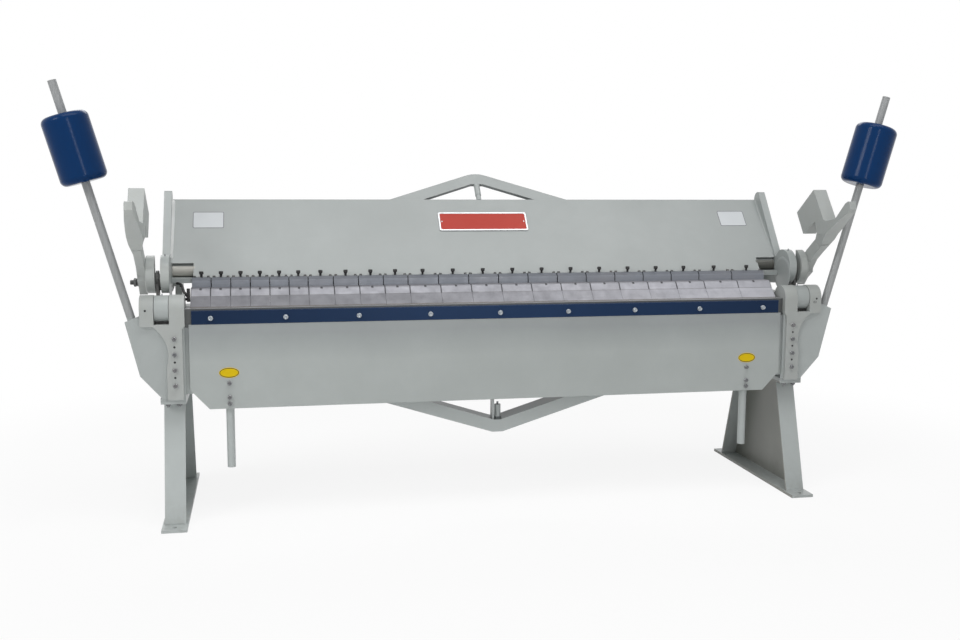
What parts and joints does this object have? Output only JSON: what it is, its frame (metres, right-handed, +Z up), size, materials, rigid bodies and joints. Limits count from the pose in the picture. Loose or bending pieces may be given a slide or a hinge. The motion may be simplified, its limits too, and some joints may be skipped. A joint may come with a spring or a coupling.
{
  "type": "box and pan brake",
  "caption": "Hand operated box and pan brake for sheet metal: 96 inch row of 22 fingers, counterweighted apron, clamp handles, on two stands.",
  "frame": {"origin": "on the floor, midway between the four anchor holes of the two stands", "axes": "+Z up; +X along the row of fingers, to the operator's right; +Y away from the operator"},
  "size_m": [3.4588, 0.919, 1.6952],
  "materials": {
    "machine_grey": "semi_gloss",
    "dark_blue": "semi_gloss",
    "gloss_blue": "gloss",
    "ground_steel": "ground",
    "block_steel": "satin",
    "dark_steel": "satin",
    "zinc": "satin",
    "black_oxide": "satin",
    "bronze": "machined",
    "cast_grey": "semi_gloss",
    "name_plate": "satin",
    "label_white": "matte",
    "label_yellow": "matte"
  },
  "bodies": {
    "frame": {"left_stand": "machine_grey", "right_stand": "machine_grey", "left_end_frame": "machine_grey", "right_end_frame": "machine_grey", "hinge_bushings": "bronze", "frame_pivot_pins": "dark_steel", "frame_bolts": "zinc", "bed_beam": "machine_grey", "bed_edge_bar": "ground_steel", "lower_truss": "machine_grey", "lower_truss_strut": "machine_grey"},
    "top_beam": {"beam_plate": "machine_grey", "left_beam_end": "machine_grey", "right_beam_end": "machine_grey", "upper_truss": "machine_grey", "upper_truss_strut": "machine_grey", "finger_rail": "machine_grey", "finger_01": "ground_steel", "finger_02": "ground_steel", "finger_03": "ground_steel", "finger_04": "ground_steel", "finger_05": "ground_steel", "finger_06": "ground_steel", "finger_07": "ground_steel", "finger_08": "ground_steel", "finger_09": "ground_steel", "finger_10": "ground_steel", "finger_11": "ground_steel", "finger_12": "ground_steel", "finger_13": "ground_steel", "finger_14": "ground_steel", "finger_15": "ground_steel", "finger_16": "ground_steel", "finger_17": "ground_steel", "finger_18": "ground_steel", "finger_19": "ground_steel", "finger_20": "ground_steel", "finger_21": "ground_steel", "finger_22": "ground_steel", "clamp_blocks": "block_steel", "thumb_screws": "black_oxide", "clamp_block_bolts": "zinc"},
    "left_clamp_lever": {"left_clamp_handle": "cast_grey", "left_eccentric_shaft": "dark_steel"},
    "right_clamp_lever": {"right_clamp_handle": "cast_grey", "right_eccentric_shaft": "dark_steel"},
    "left_link": {"left_clamp_link": "dark_steel"},
    "right_link": {"right_clamp_link": "dark_steel"},
    "apron": {"apron_panel": "machine_grey", "apron_edge_bar": "dark_steel", "apron_stiffener": "dark_blue", "apron_bolts": "zinc", "left_hinge_casting": "cast_grey", "right_hinge_casting": "cast_grey", "hinge_pins": "ground_steel", "left_balance_arm": "machine_grey", "right_balance_arm": "machine_grey", "pull_handles": "machine_grey"},
    "left_weight": {"left_counterweight": "gloss_blue"},
    "right_weight": {"right_counterweight": "gloss_blue"}
  },
  "joints": [
    {"name": "beam_lift", "type": "hinge", "parent": "frame", "child": "top_beam", "pos_m": [0, 0.069, 0.536], "axis": [-1, 0, 0], "range_deg": [0, 3.1]},
    {"name": "left_clamp", "type": "hinge", "parent": "top_beam", "child": "left_clamp_lever", "pos_m": [-1.38, -0.128, 0.931], "axis": [-1, 0, 0], "range_deg": [0, 100]},
    {"name": "right_clamp", "type": "hinge", "parent": "top_beam", "child": "right_clamp_lever", "pos_m": [1.38, -0.128, 0.931], "axis": [-1, 0, 0], "range_deg": [0, 100]},
    {"name": "left_link_swing", "type": "hinge", "parent": "left_clamp_lever", "child": "left_link", "pos_m": [-1.345, -0.128, 0.943], "axis": [-1, 0, 0], "range_deg": [-92.97, 0]},
    {"name": "right_link_swing", "type": "hinge", "parent": "right_clamp_lever", "child": "right_link", "pos_m": [1.345, -0.128, 0.943], "axis": [-1, 0, 0], "range_deg": [-92.97, 0]},
    {"name": "apron_swing", "type": "hinge", "parent": "frame", "child": "apron", "pos_m": [0, -0.233, 0.838], "axis": [-1, 0, 0], "range_deg": [0, 135]},
    {"name": "left_weight_slide", "type": "slide", "parent": "apron", "child": "left_weight", "axis": [-0.2698, 0, 0.9629], "range_m": [-0.15, 0.11]},
    {"name": "right_weight_slide", "type": "slide", "parent": "apron", "child": "right_weight", "axis": [0.2698, 0, 0.9629], "range_m": [-0.15, 0.11]}
  ],
  "couplings": [
    {"joint": "left_clamp", "follows": "beam_lift", "ratio": 32.216},
    {"joint": "right_clamp", "follows": "beam_lift", "ratio": 32.216},
    {"joint": "left_link_swing", "follows": "beam_lift", "ratio": -29.952},
    {"joint": "right_link_swing", "follows": "beam_lift", "ratio": -29.952}
  ]
}
